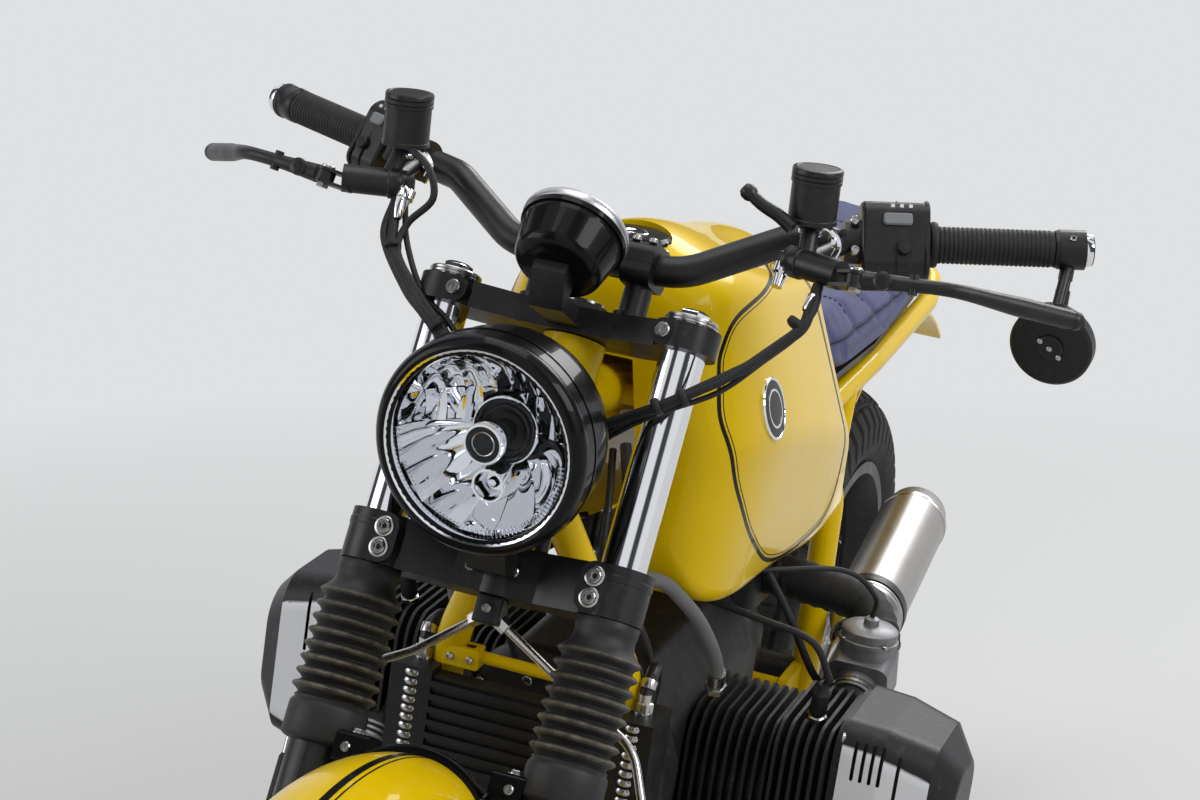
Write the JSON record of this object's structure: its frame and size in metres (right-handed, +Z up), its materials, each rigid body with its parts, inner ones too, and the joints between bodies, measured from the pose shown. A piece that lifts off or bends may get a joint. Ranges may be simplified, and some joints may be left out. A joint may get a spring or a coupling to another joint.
{
  "type": "custom roadster motorcycle with an air-cooled flat-twin engine",
  "caption": "Custom motorcycle leaning on its side stand: steering, wheels and stand turn, with finned flat-twin engine, round headlight, wide handlebar and low tank.",
  "frame": {"origin": "centre of the bounding box on the ground plane, with the machine leaning on its side stand", "axes": "+X forward, +Y to the rider's left, +Z up"},
  "size_m": [2.1487, 0.9048, 1.1517],
  "materials": {
    "yellow_paint": "gloss",
    "black_metal": "satin",
    "steel": "satin",
    "bright": "polished",
    "cast_alloy": "satin",
    "clear": "gloss",
    "mirror_glass": "polished",
    "black_rubber": "matte",
    "tyre_rubber": "matte",
    "seat_cloth": "woven",
    "red_lens": "gloss"
  },
  "bodies": {
    "frame": {"main_frame": "yellow_paint", "rear_subframe": "yellow_paint", "fuel_tank": "yellow_paint", "tank_cap": "black_metal", "crankcase": "black_metal", "front_engine_cover": "black_metal", "oil_pan": "black_metal", "gearbox": "black_metal", "cylinders": "black_metal", "cylinder_heads": "black_metal", "rocker_covers": "black_metal", "carburettors": "cast_alloy", "airbox": "black_metal", "exhaust_pipes": "steel", "muffler": "black_metal", "seat": "seat_cloth", "seat_pan": "black_metal", "rear_fender": "yellow_paint", "tail_light": "red_lens", "swingarm": "black_metal", "final_drive": "black_metal", "rear_shock": "black_metal", "footrests": "black_metal", "foot_levers": "black_metal", "oil_cooler": "black_metal"},
    "steering": {"fork_tubes": "steel", "fork_gaiters": "black_rubber", "fork_sliders": "black_metal", "top_yoke": "black_metal", "lower_yoke": "black_metal", "front_axle": "steel", "front_fender": "yellow_paint", "fender_bracket": "black_metal", "brake_calipers": "black_metal", "brake_hoses": "steel", "headlight_shell": "black_metal", "headlight_rim": "bright", "headlight_glass": "clear", "headlight_reflector": "bright", "yoke_brackets": "black_metal", "speedometer": "black_metal", "handlebar": "black_metal", "bar_risers": "black_metal", "grips": "black_rubber", "switch_housings": "black_metal", "master_cylinders": "black_metal", "hand_levers": "black_metal", "bar_end_mirror": "mirror_glass", "control_hoses": "black_rubber"},
    "front_wheel": {"front_wheel": "black_metal", "front_tyre": "tyre_rubber", "front_discs": "steel"},
    "rear_wheel": {"rear_wheel": "black_metal", "rear_tyre": "tyre_rubber"},
    "side_stand": {"side_stand": "black_metal"}
  },
  "joints": [
    {"name": "steering_turn", "type": "hinge", "parent": "frame", "child": "steering", "pos_m": [0.39946, -0.00728, 0.87157], "axis": [-0.4509, 0.1335, 0.8825], "range_deg": [-30.5, 39.5]},
    {"name": "front_wheel_spin", "type": "hinge", "parent": "steering", "child": "front_wheel", "pos_m": [0.75513, -0.09612, 0.31825], "axis": [0.07, 0.991, -0.1141], "continuous": true},
    {"name": "rear_wheel_spin", "type": "hinge", "parent": "frame", "child": "rear_wheel", "pos_m": [-0.75447, -0.09113, 0.31713], "axis": [0, 0.9888, -0.1495], "continuous": true},
    {"name": "side_stand_fold", "type": "hinge", "parent": "frame", "child": "side_stand", "pos_m": [-0.11447, 0.05589, 0.2059], "axis": [0.0251, 0.7666, 0.6416], "range_deg": [0, 100]}
  ]
}
